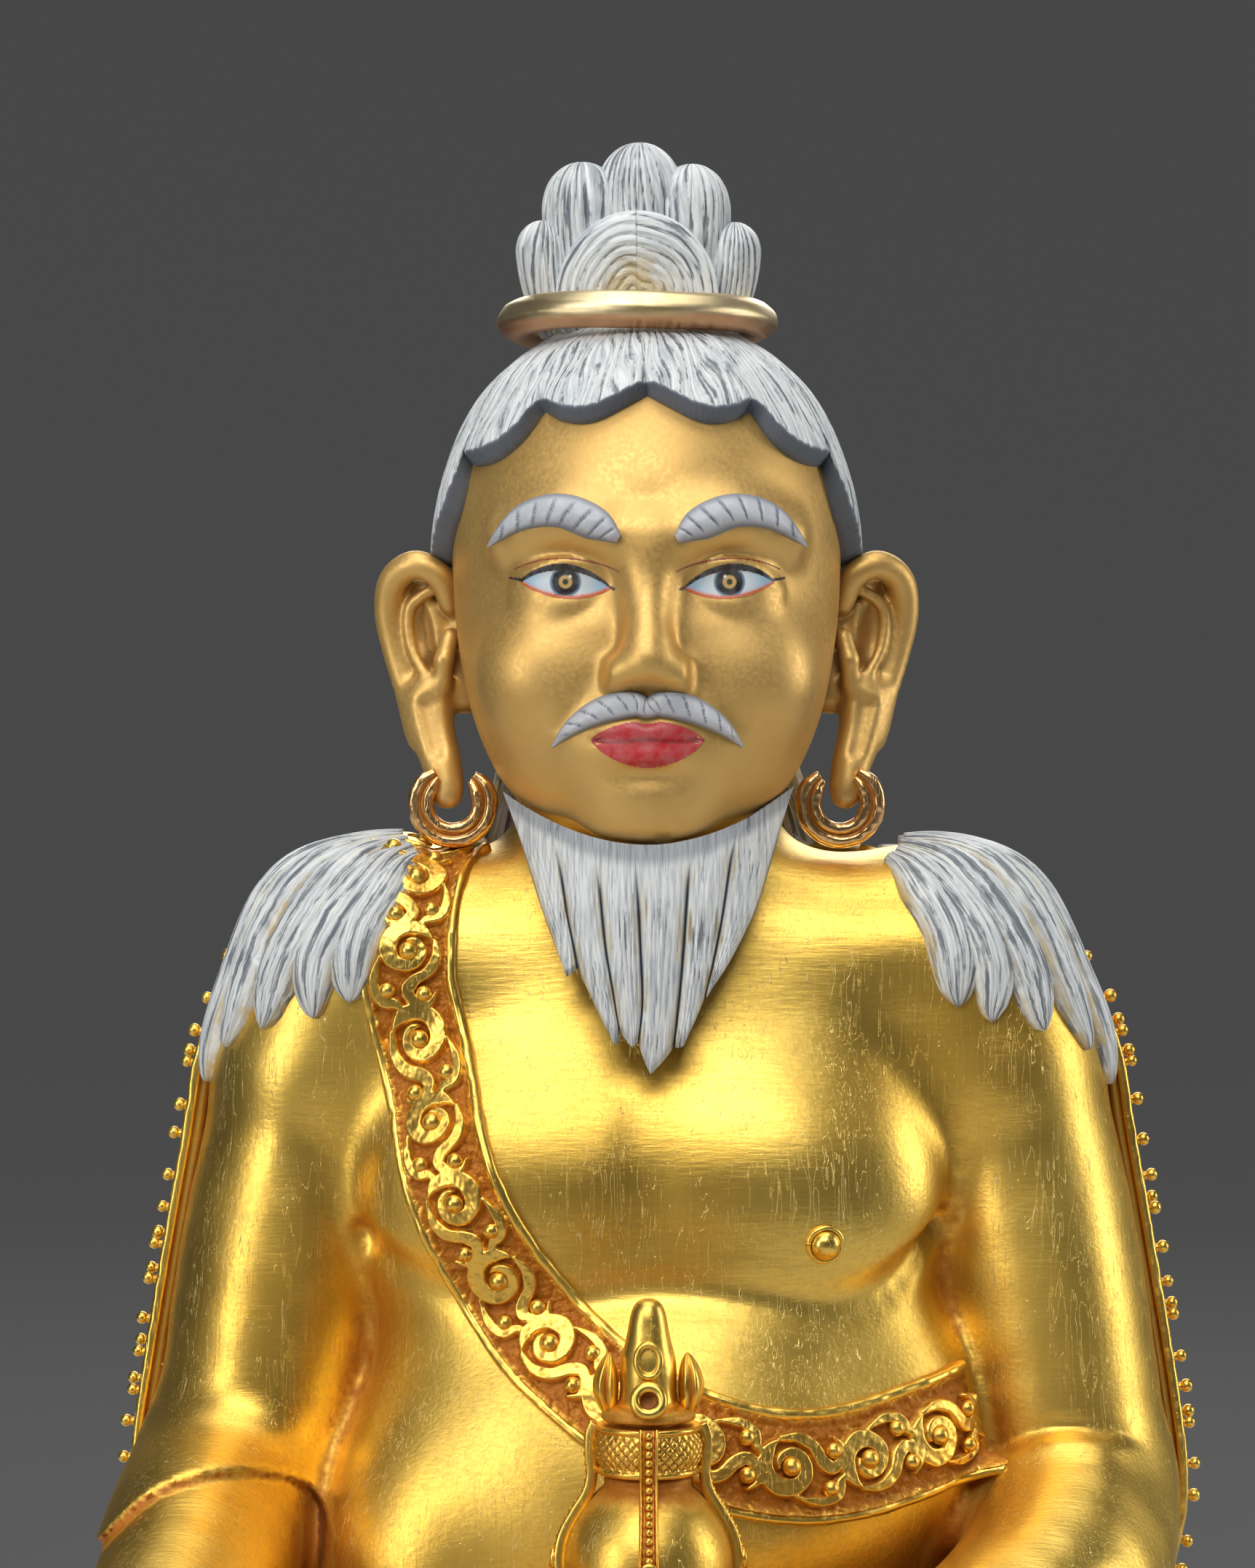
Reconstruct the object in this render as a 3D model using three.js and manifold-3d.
// Gilt-copper figure of a seated, bearded sage with a vase, on a lotus pedestal.
// Hollow castings, soldered ornaments and sheet pieces, each its own solid.
// Millimetres, +Z up. The figure faces -Y. The origin is the centre of the pedestal's underside.
import * as THREE from "three";
import { mergeVertices } from "three/addons/utils/BufferGeometryUtils.js";
import Module from "manifold-3d";

const wasm = await Module();
wasm.setup();

// ---- Driving dimensions ----
const GAP = 0.3; // clearance between neighbouring pieces
const WALL = 2.4; // wall of a hollow casting
const SHEET = 1.5; // thickness of the mantle and of the sash
const PEDESTAL = { halfWidth: 84, halfDepth: 54, height: 46, deck: 3, petals: 16 };
const BODY_Y = 12; // the figure's own axis stands behind the pedestal's centre
const DECK = PEDESTAL.height + GAP; // where the figure's castings begin
const WAIST = 66; // joint between the legs and the torso
const NECK = 156; // joint between the torso and the head
const CROWN = 209; // flat top of the skull, where the topknot stands
const RING = { radius: 12.9, tube: 1.95, z: 211.2, x: -0.9 };
const VASE = { x: 0, y: -28.5, z: 75.6, straps: 4, pegRadius: 1.5, pegLength: 5 };
const EARRING = { x: 20.4, y: 6.3, z: 160.9, outer: 4.7, inner: 2.1, open: 0.75 };
const BEADS = { count: 15, radius: 1.25, fromZ: 52, toZ: 146 };

const X_AXIS = new THREE.Vector3(1, 0, 0);
const Z_AXIS = new THREE.Vector3(0, 0, 1);

// ---- Finishes ----
const finish = (color, metalness, roughness) => new THREE.MeshStandardMaterial({ color, metalness, roughness });
const gilt = finish(0xe2b04a, 1, 0.3);
const giltRelief = finish(0xd9922e, 1, 0.4);
const faceGold = finish(0xb8862f, 0.6, 0.55);
const hairPaint = finish(0xd8dcdc, 0, 0.6);
const ringGold = finish(0xd9bd78, 1, 0.15);
const copperSheet = finish(0xb5653a, 1, 0.45);

// ---- Solids ----
// A closed three.js geometry as a manifold-3d solid with its faces pointing out.
function toSolid(geometry) {
  const bare = geometry.clone();
  for (const name of Object.keys(bare.attributes)) if (name !== "position") bare.deleteAttribute(name);
  const merged = mergeVertices(bare, 1e-4);
  const index = merged.index.array;
  const kept = [];
  for (let i = 0; i < index.length; i += 3) {
    const [a, b, c] = [index[i], index[i + 1], index[i + 2]];
    if (a !== b && b !== c && a !== c) kept.push(a, b, c);
  }
  const build = (triangles) =>
    new wasm.Manifold(
      new wasm.Mesh({
        numProp: 3,
        vertProperties: merged.attributes.position.array,
        triVerts: new Uint32Array(triangles),
      }),
    );
  const made = build(kept);
  return made.volume() < 0 ? build(kept.reverse()) : made;
}

const union = (...solids) => solids.reduce((all, next) => all.add(next));
const cut = (solid, ...tools) => tools.reduce((left, tool) => left.subtract(tool), solid);

// The largest body of a solid. Slivers that a cut leaves loose are dropped.
function whole(solid) {
  const bodies = solid.decompose();
  return bodies.reduce((best, next) => (next.volume() > best.volume() ? next : best));
}

function node(name, solid, material) {
  const mesh = whole(solid).getMesh();
  const geometry = new THREE.BufferGeometry();
  geometry.setAttribute("position", new THREE.BufferAttribute(new Float32Array(mesh.vertProperties), 3));
  geometry.setIndex(new THREE.BufferAttribute(new Uint32Array(mesh.triVerts), 1));
  geometry.computeVertexNormals();
  const made = new THREE.Mesh(geometry, material);
  made.name = name;
  return made;
}

const box = (x0, x1, y0, y1, z0, z1) =>
  toSolid(
    new THREE.BoxGeometry(x1 - x0, y1 - y0, z1 - z0).translate((x0 + x1) / 2, (y0 + y1) / 2, (z0 + z1) / 2),
  );

const ball = (x, y, z, a, b, c, around = 16, up = 10) =>
  toSolid(new THREE.SphereGeometry(1, around, up).rotateX(Math.PI / 2).scale(a, b, c).translate(x, y, z));

// A lathe about Z. The profile is a list of [radius, height].
const turned = (profile, segments) =>
  new THREE.LatheGeometry(profile.map(([r, z]) => new THREE.Vector2(r, z)), segments).rotateX(Math.PI / 2);

const rod = (radius, x, y, z0, z1, sides = 12) =>
  toSolid(
    new THREE.CylinderGeometry(radius, radius, z1 - z0, sides)
      .rotateX(Math.PI / 2)
      .translate(x, y, (z0 + z1) / 2),
  );

// A station of a swept form: the section's centre, then its half-sizes across and through.
const at = (x, y, z, a, b) => ({ centre: new THREE.Vector3(x, y, z), half: new THREE.Vector3(a, b, 0) });

// The spine and the half-sizes of a list of stations, as curves over the same parameter.
const curvesOf = (stations) => ({
  spine: new THREE.CatmullRomCurve3(stations.map((s) => s.centre)),
  sizes: new THREE.CatmullRomCurve3(stations.map((s) => s.half)),
});

// A closed form with oval sections along its stations. grow thickens it all round and reach lengthens its
// first and last ends. Sections are square to the spine, or level where an upright form calls for it.
function sweep(stations, options = {}) {
  const { sides = 16, perSpan = 1, across = X_AXIS, level = false, grow = 0, reach = [grow, grow] } = options;
  const { spine, sizes } = curvesOf(stations);
  const geometry = new THREE.CylinderGeometry(1, 1, 1, sides, perSpan * (stations.length - 1));
  const points = geometry.getAttribute("position");
  for (let i = 0; i < points.count; i++) {
    const t = THREE.MathUtils.clamp(0.5 - points.getY(i), 0, 1);
    const centre = spine.getPoint(t);
    const half = sizes.getPoint(t);
    const along = level ? Z_AXIS : spine.getTangent(t);
    const u = across.clone().addScaledVector(along, -across.dot(along)).normalize();
    const v = along.clone().cross(u);
    const push = t < 1e-6 ? -reach[0] : t > 1 - 1e-6 ? reach[1] : 0;
    centre
      .addScaledVector(along, push)
      .addScaledVector(u, points.getX(i) * Math.max(half.x + grow, 0.2))
      .addScaledVector(v, points.getZ(i) * Math.max(half.y + grow, 0.2));
    points.setXYZ(i, centre.x, centre.y, centre.z);
  }
  return toSolid(geometry);
}

// A prism whose front-view outline is a closed list of [x, z], between two depths.
function frontPrism(outline, yFront, yBack) {
  const shape = new THREE.Shape(outline.map(([x, z]) => new THREE.Vector2(x, z)));
  const geometry = new THREE.ExtrudeGeometry(shape, { depth: yBack - yFront, bevelEnabled: false });
  return toSolid(geometry.rotateX(Math.PI / 2).translate(0, yBack, 0));
}

// The outline of a strip that follows a front-view curve, between two offsets to its left side.
function strip(curve, from, to, steps) {
  const left = [];
  const right = [];
  for (let i = 0; i <= steps; i++) {
    const p = curve.getPoint(i / steps);
    const d = curve.getTangent(i / steps);
    left.push([p.x - d.y * from, p.y + d.x * from]);
    right.push([p.x - d.y * to, p.y + d.x * to]);
  }
  return left.concat(right.reverse());
}

// ---- Forms of the figure ----
const torsoStations = [
  at(0, BODY_Y - 1, WAIST + GAP, 28.5, 19),
  at(0, BODY_Y - 3.5, 76, 29.5, 22),
  at(0, BODY_Y - 4, 88, 29.5, 23),
  at(0, BODY_Y - 3, 100, 29, 21),
  at(0, BODY_Y - 2, 112, 29, 19),
  at(0, BODY_Y - 2, 124, 31, 19.5),
  at(0, BODY_Y - 0.5, 134, 35, 18),
  at(0, BODY_Y, 143, 36.5, 15.5),
  at(0, BODY_Y, 149, 32, 13.5),
  at(0, BODY_Y, 153, 23, 12.5),
  at(0, BODY_Y, NECK, 14, 11.5),
];
const torsoForm = (grow, reach) => sweep(torsoStations, { sides: 22, level: true, grow, reach });

const upperArmStations = (side) => [
  at(side * 29.5, BODY_Y, 150.5, 4, 6),
  at(side * 33, BODY_Y, 144, 8, 11),
  at(side * 35, BODY_Y, 137, 9.5, 12.3),
  at(side * 37, BODY_Y, 128, 10.6, 12.5),
  at(side * 39.8, BODY_Y - 1, 113, 11, 12.2),
  at(side * 42.3, BODY_Y - 2, 97, 10.6, 11.5),
];
const upperArmForm = (side, grow, reach) => sweep(upperArmStations(side), { sides: 16, grow, reach });

const forearmStations = {
  right: [
    at(-43, BODY_Y + 4, 95, 7, 6),
    at(-43.5, BODY_Y - 4, 91, 10.6, 11),
    at(-45.5, BODY_Y - 18, 84.5, 10, 10.5),
    at(-48.5, BODY_Y - 34, 78, 8, 8.5),
    at(-51, BODY_Y - 46, 74.5, 6, 6.8),
  ],
  left: [
    at(44, BODY_Y + 4, 92, 7, 6),
    at(45, BODY_Y - 5, 87, 10.5, 11),
    at(40.5, BODY_Y - 19, 80, 10, 10.5),
    at(31, BODY_Y - 32, 75.5, 8, 8.5),
    at(20, BODY_Y - 38.5, 73.6, 5.8, 6.8),
  ],
};
const forearmForm = (hand, grow, reach) =>
  sweep(forearmStations[hand], { sides: 14, across: Z_AXIS, grow, reach });

const headStations = [
  at(0, 0.5, 157, 7, 6),
  at(0, 2.5, 159.5, 12, 13),
  at(0, 5, 164, 15.9, 18),
  at(0, 8, 172, 18.9, 21.5),
  at(0, 10, 183, 20.3, 23.5),
  at(0, 10.5, 193, 20, 23.5),
  at(0, 11, 201, 17.2, 20),
  at(0, 11, 206, 13.2, 15),
  at(0, 11, CROWN, 10, 11),
];
const headForm = (grow, reach) => sweep(headStations, { sides: 20, level: true, grow, reach });

const legStations = (side, lift, forward) => [
  at(side * 14, BODY_Y + 4, 58, 14, 16),
  at(side * 40, BODY_Y - 4, 58, 14.5, 15),
  at(side * 60, BODY_Y - 20, 57.5, 12.5, 13),
  at(side * 58, BODY_Y - 36, 57, 11.5, 11.5),
  at(side * 34, BODY_Y - 46, 56, 10.5, 10.5),
  at(side * 6, BODY_Y - 46 - forward, 55.5 + lift, 9.5, 9.5),
  at(side * -12, BODY_Y - 44 - forward, 56 + lift, 7, 7),
];
const legForm = (side, grow, drop = 0) =>
  sweep(legStations(side, side < 0 ? 3 : 0, side < 0 ? 0 : 3), { sides: 12, across: Z_AXIS, grow }).translate([
    0,
    0,
    -drop,
  ]);
const legsForm = (grow, drop = 0) =>
  union(
    legForm(-1, grow, drop),
    legForm(1, grow, drop),
    ball(0, BODY_Y, 56 - drop, 36 + grow, 25 + grow, 16 + grow, 18, 8),
    ball(0, -14, 52 - drop, 44 + grow, 27 + grow, 11 + grow, 18, 8),
  );

const mantleStations = [
  at(0, BODY_Y, DECK + GAP, 62, 31),
  at(0, BODY_Y, 70, 58.5, 29),
  at(0, BODY_Y, 95, 56, 27),
  at(0, BODY_Y, 120, 53, 26),
  at(0, BODY_Y, 134, 49.8, 25),
  at(0, BODY_Y, 141, 45.8, 24),
  at(0, BODY_Y, 147, 41, 22),
  at(0, BODY_Y, 153, 33, 18.5),
  at(0, BODY_Y, 157, 20, 15),
];
const mantleForm = (grow, reach) => sweep(mantleStations, { sides: 28, level: true, grow, reach });
const MANTLE_EDGE_Y = BODY_Y - 1;

// ---- Pedestal ----
// Angles at which an ellipse's rim is cut into equal lengths, so that the petals are alike all round.
function evenAngles(halfWidth, halfDepth, count) {
  const fine = 720;
  const lengths = [0];
  const rim = (i) => {
    const angle = (2 * Math.PI * i) / fine;
    return new THREE.Vector2(halfWidth * Math.sin(angle), halfDepth * Math.cos(angle));
  };
  for (let i = 1; i <= fine; i++) lengths.push(lengths[i - 1] + rim(i).distanceTo(rim(i - 1)));
  return Array.from({ length: count }, (_, k) => {
    const wanted = (lengths[fine] * k) / count;
    return (2 * Math.PI * lengths.findIndex((length) => length >= wanted - 1e-9)) / fine;
  });
}

function pedestalShell() {
  const { halfWidth, halfDepth, height, deck, petals } = PEDESTAL;
  const perPetal = 4;
  const segments = petals * perPetal;
  const angles = evenAngles(halfWidth, halfDepth, segments);
  // [radius, height, depth of the notch between petals]
  const rows = [
    [0, 0, 0],
    [84, 0, 0],
    [84, 3.5, 0],
    [81, 5, 0],
    [83, 9, 5],
    [80, 17, 3.5],
    [71, 23, 0],
    [78, 29, 3.5],
    [82, 37, 5],
    [77.5, 41.5, 0],
    [77.5, height, 0],
    [0, height, 0],
  ];
  const geometry = turned(rows, segments);
  const points = geometry.getAttribute("position");
  const squash = halfDepth / halfWidth;
  for (let i = 0; i < points.count; i++) {
    const row = rows[i % rows.length];
    const column = Math.floor(i / rows.length) % segments;
    const angle = angles[column];
    const notch = row[2] * (1 - Math.abs(Math.sin((Math.PI * column) / perPetal)));
    const radius = row[0] - notch;
    points.setXYZ(i, radius * Math.sin(angle), -radius * squash * Math.cos(angle), row[1]);
  }
  const cavity = turned(
    [
      [0, -1],
      [81.6, -1],
      [81.6, 2.4],
      [76.5, 2.4],
      [75, 14],
      [66, 23],
      [73.5, 36],
      [73.5, height - deck],
      [0, height - deck],
    ],
    32,
  ).scale(1, squash, 1);
  const slots = [-1, 1].map((side) => lug(side, GAP, DECK - deck - 3, DECK + 3));
  return cut(toSolid(geometry), toSolid(cavity), ...slots);
}

// A flat lug cast inside each knee. It passes through the deck and a cross pin locks it from below.
const LUG = { x: 52, y: -2, halfLength: 4, halfThick: 1.25, top: 60 };
const lug = (side, grow, z0, z1) =>
  box(
    side * LUG.x - LUG.halfLength - grow,
    side * LUG.x + LUG.halfLength + grow,
    LUG.y - LUG.halfThick - grow,
    LUG.y + LUG.halfThick + grow,
    z0,
    z1,
  );
const PIN = { radius: 1.2, halfLength: 6, z: PEDESTAL.height - PEDESTAL.deck - 2.2 };
const crossPin = (side, grow = 0) =>
  toSolid(
    new THREE.CylinderGeometry(PIN.radius + grow, PIN.radius + grow, 2 * PIN.halfLength, 10).translate(
      side * LUG.x,
      LUG.y,
      PIN.z,
    ),
  );

function basePlate() {
  const squash = PEDESTAL.halfDepth / PEDESTAL.halfWidth;
  return toSolid(
    new THREE.CylinderGeometry(81, 81, 1.2, 32).rotateX(Math.PI / 2).scale(1, squash, 1).translate(0, 0, 1.4),
  );
}

// ---- Hands ----
const finger = (points, radius) =>
  sweep(
    points.map(([x, y, z], i) => at(x, y, z, radius * (1 - 0.12 * i), radius * (1 - 0.12 * i))),
    { sides: 6, across: Z_AXIS, reach: [0.8, 0.8] },
  );

// The left hand lies palm up in the lap, with a socket for the vase's peg.
function leftHand() {
  const fingers = [0, 1, 2, 3].map((k) => {
    const y = VASE.y - 5.4 + 3.6 * k;
    const reach = k === 0 || k === 3 ? 0 : 1.6;
    return finger(
      [
        [-4, y, 71.5],
        [-9, y, 71.6],
        [-12.5 - reach, y, 73.2],
        [-14 - reach, y, 76],
      ],
      1.9,
    );
  });
  const thumb = finger(
    [
      [13, VASE.y - 6, 72.5],
      [9, VASE.y - 9.5, 74],
      [4, VASE.y - 10.6, 75.6],
      [1, VASE.y - 10.4, 77],
    ],
    2.2,
  );
  const palm = ball(4, VASE.y, 71.4, 12, 8.2, 3.9, 16, 8);
  const wrist = sweep([at(24, -25, 74, 4.5, 5.5), at(15, -28, 72.6, 4.4, 6), at(7, VASE.y, 71.6, 3, 6)], {
    sides: 12,
    across: Z_AXIS,
  });
  const socket = rod(VASE.pegRadius + GAP, VASE.x, VASE.y, VASE.z - VASE.pegLength - 1, VASE.z + 1);
  const clear = rod(9.9, VASE.x, VASE.y, VASE.z - GAP, VASE.z + 30, 16);
  return cut(union(palm, wrist, thumb, ...fingers), legsForm(GAP), forearmForm("left", GAP), socket, clear);
}

// The right hand rests palm down over the knee.
function rightHand() {
  const fingers = [0, 1, 2, 3].map((k) => {
    const x = -60 + 3.7 * k;
    const reach = k === 0 ? -1.5 : k === 3 ? -0.5 : 1;
    return finger(
      [
        [x + 2, -43, 72.6],
        [x + 0.6, -48.5, 70.5],
        [x, -51.2 - reach * 0.3, 66],
        [x, -50.8, 61.5 - reach],
      ],
      2,
    );
  });
  const thumb = finger(
    [
      [-48, -37, 72.5],
      [-45, -41, 71],
      [-43.6, -45, 68.6],
      [-43.4, -47.4, 65.6],
    ],
    2.2,
  );
  const palm = ball(-54, -39.5, 73, 8.4, 9, 4, 16, 8);
  const wrist = sweep([at(-50, -27, 76, 4.5, 5.2), at(-52, -35, 74.2, 4.4, 6), at(-53.5, -41, 73, 3, 6.5)], {
    sides: 12,
    across: Z_AXIS,
  });
  return cut(union(palm, wrist, thumb, ...fingers), legsForm(GAP), forearmForm("right", GAP));
}

// ---- Head ----
// Front-view outline of the bare face under the hairline: five scallops between the temples.
function faceOpening() {
  const scallops = 6;
  const outline = [];
  const radius = { x: 19.4, z: 18.5 };
  const centreZ = 184;
  for (let i = 0; i < scallops; i++) {
    const arc = new THREE.QuadraticBezierCurve(
      ...[0, 0.5, 1].map((f) => {
        const angle = Math.PI * (1 - (i + f) / scallops);
        const pull = f === 0.5 ? 0.93 : 1;
        return new THREE.Vector2(radius.x * pull * Math.cos(angle), centreZ + radius.z * pull * Math.sin(angle));
      }),
    );
    for (const p of arc.getPoints(3).slice(i ? 1 : 0)) outline.push([p.x, p.y]);
  }
  return outline.concat([
    [19.4, 150],
    [-19.4, 150],
  ]);
}

const hairForm = (grow) =>
  sweep(headStations.slice(2), { sides: 20, level: true, grow: 2.1 + grow, reach: [grow, grow] });

const neckForm = (grow) => rod(11.5 + grow, 0, BODY_Y, NECK + GAP, 170, 20);

function hairCap() {
  const face = frontPrism(faceOpening(), -40, BODY_Y);
  const ears = box(-40, 40, -40, BODY_Y + 4, 140, 184.5);
  return cut(hairForm(0), headForm(GAP), neckForm(GAP), face, ears, ringForm(GAP), topknotForm(GAP));
}

const lobe = (x, y, z, angle, half, grow) =>
  toSolid(
    new THREE.SphereGeometry(1, 10, 7)
      .rotateX(Math.PI / 2)
      .scale(half[0] + grow, half[1] + grow, half[2] + grow)
      .rotateY(angle)
      .translate(RING.x + x, y, z),
  );

// Loops of hair that fan out above the ring, with a round coil in front of them.
function topknotForm(grow) {
  const y = BODY_Y - 2;
  const fan = [
    [0, 220.6, 0, [5, 6, 9.4]],
    [-6, 218.3, -0.28, [4.4, 6, 8.2]],
    [6, 218.3, 0.28, [4.4, 6, 8.2]],
    [-9.4, 214.8, -0.2, [3.4, 5.6, 6.6]],
    [9.4, 214.8, 0.2, [3.4, 5.6, 6.6]],
  ].map(([x, z, angle, half]) => lobe(x, y + 1, z, angle, half, grow));
  const coil = cut(lobe(0, y - 4, 212.4, 0, [7.6, 5, 8], grow), box(-20, 20, -20, 40, 200, 206));
  const root = rod(9.6 + grow, RING.x, y, CROWN + GAP - grow, 214, 20);
  return cut(union(...fan, coil, root), box(-30, 30, -20, 50, 190, CROWN + GAP - grow));
}

const ringForm = (grow) =>
  toSolid(
    new THREE.TorusGeometry(RING.radius, RING.tube + grow, 8, 28).translate(RING.x, BODY_Y - 2, RING.z),
  );

const earForm = (side, grow = 0) =>
  sweep(
    [
      at(side * 22, 10.5, 186.4, 1.4, 1.8),
      at(side * 24.4, 10.5, 183.4, 2.6, 3),
      at(side * 24.8, 10.5, 178, 2.5, 3.3),
      at(side * 23.4, 10, 171, 1.9, 2.7),
      at(side * 21.4, 8.5, 165, 1.6, 2.2),
      at(side * 20.6, 7, 160.6, 1.2, 1.7),
    ],
    { sides: 10, grow },
  );

// A horseshoe hoop, open at the top for the lobe, with a groove round its face.
function earring(side) {
  const { outer, inner, open } = EARRING;
  const hoop = new THREE.Shape();
  hoop.absarc(0, 0, outer, Math.PI / 2 + open, Math.PI * 2.5 - open, false);
  hoop.absarc(0, 0, inner, Math.PI * 2.5 - open, Math.PI / 2 + open, true);
  const band = new THREE.ExtrudeGeometry(hoop, { depth: 2.6, bevelEnabled: false, curveSegments: 8 });
  const groove = toSolid(new THREE.TorusGeometry((outer + inner) / 2, 0.35, 4, 14));
  const hung = cut(toSolid(band), groove.translate([0, 0, 2.6]))
    .rotate([90, 0, 0])
    .translate([side * EARRING.x, EARRING.y + 1.3, EARRING.z]);
  return cut(hung, earForm(side, GAP), headForm(GAP));
}

function beard() {
  const form = sweep(
    [
      at(0, 4, 164.5, 15.6, 6),
      at(0, -3, 158, 15, 8.6),
      at(0, -6.5, 151, 12.8, 6.2),
      at(0, -8.4, 143, 9, 4),
      at(0, -10, 137, 4.6, 2.4),
      at(0, -11, 133.4, 0.9, 0.9),
    ],
    { sides: 16 },
  );
  const jaw = box(-30, 30, 6, 40, 120, 175);
  return cut(form, headForm(GAP), neckForm(GAP), torsoForm(GAP), jaw);
}

const faceTrim = (stations) => cut(sweep(stations, { sides: 6, perSpan: 2 }), headForm(GAP));
// The front of the head at a height, where brows and moustache sit.
const brow = (side) =>
  faceTrim([
    at(side * 3.4, -13.4, 187.2, 0.9, 1.2),
    at(side * 7, -13, 188.4, 1.5, 1.6),
    at(side * 11.5, -10.4, 188.6, 1.4, 1.6),
    at(side * 15.6, -6, 186.6, 0.8, 1.2),
  ]);
const moustache = () =>
  faceTrim([
    at(-9, -11.4, 166, 0.6, 1),
    at(-5, -13.6, 168.4, 1.3, 1.7),
    at(0, -14.6, 169, 1.2, 1.8),
    at(5, -13.6, 168.4, 1.3, 1.7),
    at(9, -11.4, 166, 0.6, 1),
  ]);

// ---- Hair on the shoulders and the back ----
const shoulderForm = (side, grow) => union(torsoForm(grow), upperArmForm(side, grow));

function shoulderHair(side) {
  const outline = [
    [21, 162],
    [23.7, 154],
    [27.7, 147],
    [29.5, 141],
    [33, 139.5],
    [36.5, 142],
    [41, 136.5],
    [43.4, 139],
    [47, 132],
    [52, 140],
    [52, 162],
  ].map(([x, z]) => [side * x, z]);
  const front = frontPrism(outline, -30, MANTLE_EDGE_Y - GAP);
  return cut(shoulderForm(side, 2.6).intersect(front), shoulderForm(side, GAP), sashForm(GAP), mantle());
}

function napeHair() {
  const outline = [
    [-36, 160],
    [-38, 141],
    [-29, 145],
    [-21, 134],
    [-12, 140],
    [0, 130],
    [12, 140],
    [21, 134],
    [29, 145],
    [38, 141],
    [36, 160],
  ];
  const spread = mantleForm(2.6).intersect(frontPrism(outline, BODY_Y + 1, 60));
  const fall = sweep(
    [at(0, 23, 176, 16, 10), at(0, 22, 167, 17.5, 11.5), at(0, 22, 160, 19.5, 12), at(0, 24, 152, 24, 13)],
    { sides: 16, level: true },
  );
  const shoulders = union(torsoForm(GAP), upperArmForm(-1, GAP), upperArmForm(1, GAP));
  return cut(union(spread, fall), mantleForm(GAP), shoulders, headForm(GAP), neckForm(GAP), hairForm(GAP));
}

// ---- Sash ----
const sashLine = new THREE.SplineCurve(
  [
    [-22.5, 160],
    [-24.4, 146.5],
    [-22.4, 131],
    [-16, 115],
    [-3.6, 100],
    [13.6, 93.4],
    [28, 96.8],
    [38, 107],
  ].map(([x, z]) => new THREE.Vector2(x, z)),
);
const SASH = { halfWidth: 3.9, rim: 1.1 };
const sashSlab = (from, to) => frontPrism(strip(sashLine, from, to, 14), -40, MANTLE_EDGE_Y - GAP);
const sashForm = (grow) => {
  const side = SASH.halfWidth + SASH.rim + GAP + grow;
  return torsoForm(SHEET + 0.9 + grow).intersect(sashSlab(-side, side));
};
const armForms = (side, hand, grow) => union(upperArmForm(side, grow), forearmForm(hand, grow));
const sashPiece = (thick, from, to) =>
  cut(
    torsoForm(thick).intersect(sashSlab(from, to)),
    torsoForm(GAP),
    armForms(1, "left", GAP),
    armForms(-1, "right", GAP),
    box(-26, -14, EARRING.y - 1.7, EARRING.y + 1.7, EARRING.z - EARRING.outer - GAP, 170),
  );

// ---- Mantle ----
function mantle() {
  const sheet = cut(mantleForm(0), mantleForm(-SHEET, [2, 2]));
  return cut(sheet, box(-90, 90, -90, MANTLE_EDGE_Y, 0, 240));
}

// A strip along the mantle's front edge on its outer face, with a row of round studs.
function mantleBorder(side) {
  const { spine, sizes } = curvesOf(mantleStations);
  const span = side < 0 ? [-90, 0] : [0, 90];
  const strip = cut(mantleForm(1.1), mantleForm(GAP)).intersect(
    box(...span, MANTLE_EDGE_Y, MANTLE_EDGE_Y + 8, DECK + GAP, BEADS.toZ + 2),
  );
  const studs = Array.from({ length: BEADS.count }, (_, k) => {
    const z = THREE.MathUtils.lerp(BEADS.fromZ, BEADS.toZ, k / (BEADS.count - 1));
    let [low, high] = [0, 1];
    for (let i = 0; i < 30; i++) {
      const middle = (low + high) / 2;
      if (spine.getPoint(middle).z < z) low = middle;
      else high = middle;
    }
    const half = sizes.getPoint(low);
    const lift = 1.1 + BEADS.radius * 0.6;
    const y = MANTLE_EDGE_Y + (k % 2 ? 2.2 : 5);
    const across = Math.sqrt(1 - ((y - BODY_Y) / (half.y + lift)) ** 2);
    const x = side * (half.x + lift) * across;
    return toSolid(new THREE.IcosahedronGeometry(BEADS.radius * 1.1).translate(x, y, z));
  });
  return union(strip, ...studs);
}

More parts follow.
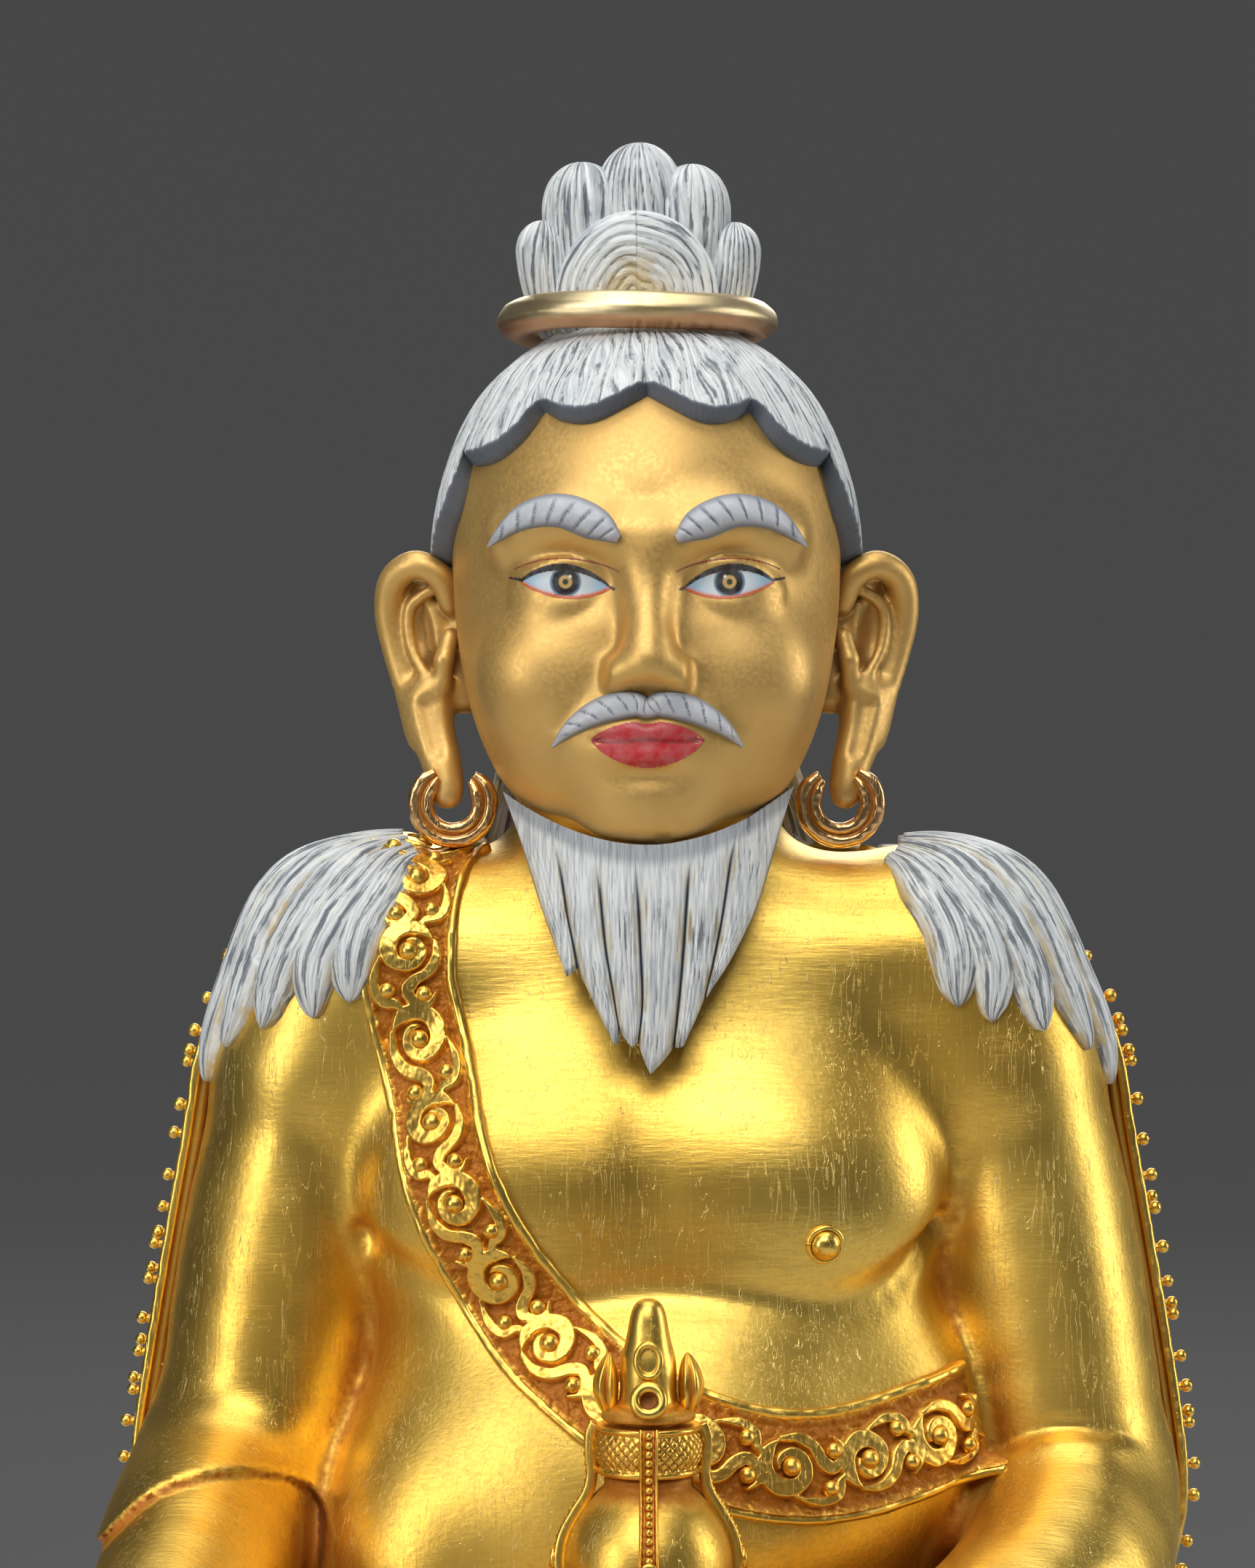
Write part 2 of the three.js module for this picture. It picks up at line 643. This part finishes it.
// ---- Vase, in its own frame with its foot at z = 0 ----
function vaseGroup() {
  const group = new THREE.Group();
  group.position.set(VASE.x, VASE.y, VASE.z);
  const lathe = (profile, segments = 18) => toSolid(turned(profile, segments));
  const body = lathe([
    [0, 0],
    [4.4, 0],
    [4.4, 0.9],
    [3, 2],
    [3.4, 3.2],
    [6.2, 6],
    [7.9, 10],
    [8.1, 12.6],
    [7, 16],
    [5, 18.8],
    [4.2, 20.4],
    [3.1, 20.4],
    [4.2, 18.4],
    [5.9, 15.6],
    [6.8, 12.4],
    [6.6, 10.2],
    [5.2, 7],
    [0, 3.6],
  ]);
  const collar = lathe([
    [3.2, 20.7],
    [4.9, 20.7],
    [5.3, 21.6],
    [5.3, 24.6],
    [4.9, 25.5],
    [3.2, 25.5],
    [3.2, 20.7],
  ]);
  const jewel = lathe(
    [
      [0, 24.4],
      [2.8, 24.4],
      [2.8, 25.8],
      [4.6, 25.8],
      [4.2, 27],
      [2.9, 28],
      [2.7, 31],
      [2.1, 34.2],
      [1.5, 36.6],
      [0, 37.4],
    ],
    14,
  );
  const leaf = (side, grow) => ball(side * 3.6, 0, 29.4, 0.9 + grow, 1.9 + grow, 2.9 + grow, 8, 6);
  const ringAt = (y, z, radius, tube) =>
    toSolid(new THREE.TorusGeometry(radius, tube, 5, 10).rotateX(Math.PI / 2).translate(0, y, z));
  const lowerBezel = ringAt(-5.2, 28.1, 1.35, 0.5);
  const upperBezel = ringAt(-3.6, 31.7, 1.35, 0.45);
  const leaves = [-1, 1].map((side) => leaf(side, 0));
  const cleared = cut(jewel, leaf(-1, GAP), leaf(1, GAP));
  const bezels = [cut(lowerBezel, jewel.scale([1.05, 1.05, 1])), cut(upperBezel, jewel.scale([1.1, 1.1, 1]))];
  group.add(
    node("vase_body", union(body, rod(VASE.pegRadius, 0, 0, -VASE.pegLength, 1)), gilt),
    node("vase_collar", collar, giltRelief),
    node("vase_jewel", cleared, gilt),
    node("vase_leaf_right", leaves[0], gilt),
    node("vase_leaf_left", leaves[1], gilt),
    node("vase_bezel_lower", bezels[0], gilt),
    node("vase_bezel_upper", bezels[1], gilt),
  );
  const names = ["front", "left", "back", "right"];
  names.slice(0, VASE.straps).forEach((name, k) => {
    const strap = sweep(
      [
        at(0, -5.9, 25.3, 1.6, 0.4),
        at(0, -6.1, 22, 1.6, 0.45),
        at(0, -6.4, 19, 1.6, 0.45),
        at(0, -8.2, 16, 1.7, 0.45),
        at(0, -9, 12.6, 1.7, 0.5),
        at(0, -9, 9.8, 1.1, 0.5),
      ],
      { sides: 8 },
    );
    const mesh = node("vase_strap_" + name, strap, giltRelief);
    mesh.rotation.z = (k * Math.PI) / 2;
    group.add(mesh);
  });
  return group;
}

// ---- Assembly ----
const statue = new THREE.Group();

const pedestal = new THREE.Group();
pedestal.add(
  node("lotus_pedestal", pedestalShell(), gilt),
  node("base_plate", basePlate(), copperSheet),
  ...[-1, 1].map((side) => node(side < 0 ? "cross_pin_right" : "cross_pin_left", crossPin(side), copperSheet)),
);
statue.add(pedestal);

const floor = box(-120, 120, -120, 120, -40, DECK);
const lugs = [-1, 1].map((side) => cut(lug(side, 0, PIN.z - 4, LUG.top), crossPin(side, GAP)));
const lowerCavity = union(
  ball(-28, -6, 44, 36, 26, 18, 16, 8),
  ball(28, -6, 44, 36, 26, 18, 16, 8),
  ball(0, BODY_Y, 54, 24, 15, 22, 16, 8),
);
const seats = [torsoForm(GAP), forearmForm("right", GAP), forearmForm("left", GAP)];
const lowerBody = cut(legsForm(0), floor, lowerCavity, ...seats);
const torsoCavity = torsoForm(-WALL, [3, 3]);
// A round peg across each shoulder keys the arm into the torso's wall.
const armPeg = (side, grow) =>
  toSolid(
    new THREE.CylinderGeometry(2.4 + grow, 2.4 + grow, 19, 10)
      .rotateZ(Math.PI / 2)
      .translate(side * 33, BODY_Y, 136),
  );

const figure = new THREE.Group();
figure.add(
  node("lower_body", union(lowerBody, ...lugs), gilt),
  node("torso", cut(torsoForm(0), torsoCavity, armPeg(-1, GAP), armPeg(1, GAP)), gilt),
);
for (const [side, hand] of [
  [-1, "right"],
  [1, "left"],
]) {
  const armCavity = upperArmForm(side, -WALL, [-4, 6]);
  const upper = union(cut(upperArmForm(side, 0), torsoForm(GAP), armCavity), armPeg(side, 0));
  const forearm = cut(
    forearmForm(hand, 0),
    upperArmForm(side, GAP),
    torsoForm(GAP),
    armCavity,
    forearmForm(hand, -WALL, [-3, -3]),
  );
  figure.add(node("upper_arm_" + hand, upper, gilt), node("forearm_" + hand, forearm, gilt));
  figure.add(node("hand_" + hand, hand === "left" ? leftHand() : rightHand(), gilt));
}
figure.add(
  node(
    "sash_band",
    sashPiece(SHEET, -SASH.halfWidth, SASH.halfWidth),
    giltRelief,
  ),
  node(
    "sash_rim_upper",
    sashPiece(SHEET + 0.9, SASH.halfWidth + GAP, SASH.halfWidth + GAP + SASH.rim),
    gilt,
  ),
  node(
    "sash_rim_lower",
    sashPiece(SHEET + 0.9, -SASH.halfWidth - GAP - SASH.rim, -SASH.halfWidth - GAP),
    gilt,
  ),
  node("chest_stud", cut(ball(18.2, -7, 116.5, 1.7, 1.7, 1.7, 10, 6), torsoForm(GAP)), gilt),
  node("shoulder_hair_right", shoulderHair(-1), hairPaint),
  node("shoulder_hair_left", shoulderHair(1), hairPaint),
);
statue.add(figure);

const cloak = new THREE.Group();
cloak.add(
  node("mantle", cut(mantle(), legsForm(GAP), upperArmForm(-1, GAP), upperArmForm(1, GAP)), gilt),
  node("mantle_border_right", mantleBorder(-1), giltRelief),
  node("mantle_border_left", mantleBorder(1), giltRelief),
  node("nape_hair", napeHair(), hairPaint),
);
statue.add(cloak);

const neckTenon = rod(8.5, 0, BODY_Y, 150, 168, 16);
const neckBore = rod(6, 0, BODY_Y, 140, 180, 16);
const skull = union(headForm(0), neckForm(0), neckTenon);
const nose = sweep([at(0, -13, 184, 1.2, 1.2), at(0, -15, 177, 1.8, 2), at(0, -14.2, 171.6, 2.6, 3)], {
  sides: 8,
});
const eyes = [-1, 1].map((side) => ball(side * 7.6, -11.4, 182.6, 4, 2, 1.7, 10, 6));
const lips = ball(0, -12.8, 165.4, 4.2, 2.2, 1.3, 10, 6);
const headCavity = ball(0, BODY_Y - 1, 182, 17, 19.5, 22, 16, 8);
const head = new THREE.Group();
head.add(
  node("head", cut(union(skull, nose, lips, ...eyes), headCavity, neckBore), faceGold),
  node("hair_cap", hairCap(), hairPaint),
  node("topknot", cut(topknotForm(0), ringForm(GAP)), hairPaint),
  node("topknot_ring", ringForm(0), ringGold),
  node("beard", beard(), hairPaint),
  node("moustache", moustache(), hairPaint),
  node("eyebrow_right", brow(-1), hairPaint),
  node("eyebrow_left", brow(1), hairPaint),
);
for (const [side, name] of [
  [-1, "right"],
  [1, "left"],
]) {
  head.add(
    node("ear_" + name, cut(earForm(side), headForm(GAP), hairForm(GAP)), gilt),
    node("earring_" + name, earring(side), gilt),
  );
}
statue.add(head, vaseGroup());

export default statue;
